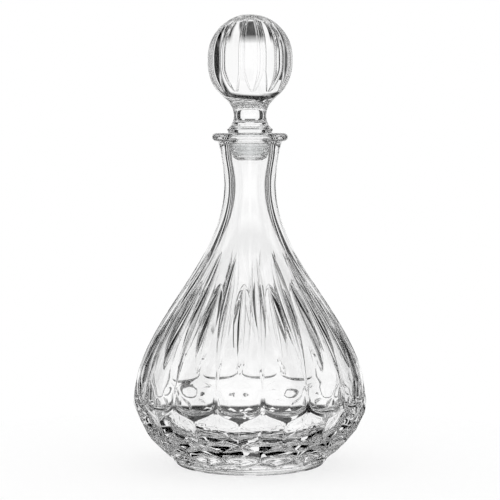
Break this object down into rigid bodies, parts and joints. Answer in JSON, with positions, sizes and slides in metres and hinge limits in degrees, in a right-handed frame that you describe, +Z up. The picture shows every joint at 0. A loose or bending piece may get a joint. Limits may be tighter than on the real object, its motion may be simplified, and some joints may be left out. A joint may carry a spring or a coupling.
{
  "type": "wine decanter",
  "caption": "Pear-shaped cut-glass wine decanter with a slender flared neck, a fluted ball stopper and a plastic sealing sleeve on its plug.",
  "frame": {"origin": "centre of the foot, on the surface the decanter stands on", "axes": "+Z up along the decanter's axis of rotation, -Y towards the viewer"},
  "size_m": [0.1556, 0.1556, 0.3],
  "materials": {
    "body_glass": "clear, polished",
    "stopper_glass": "clear, polished",
    "seal_plastic": "translucent, satin"
  },
  "bodies": {
    "decanter": {"decanter_body": "body_glass"},
    "seal": {"stopper_seal": "seal_plastic"},
    "stopper": {"stopper": "stopper_glass"}
  },
  "joints": [
    {"name": "stopper_lift", "type": "slide", "parent": "decanter", "child": "seal", "axis": [0, 0, 1], "range_m": [0, 0.08]},
    {"name": "stopper_turn", "type": "hinge", "parent": "seal", "child": "stopper", "pos_m": [0, 0, 0.2216], "axis": [0, 0, 1], "continuous": true}
  ]
}
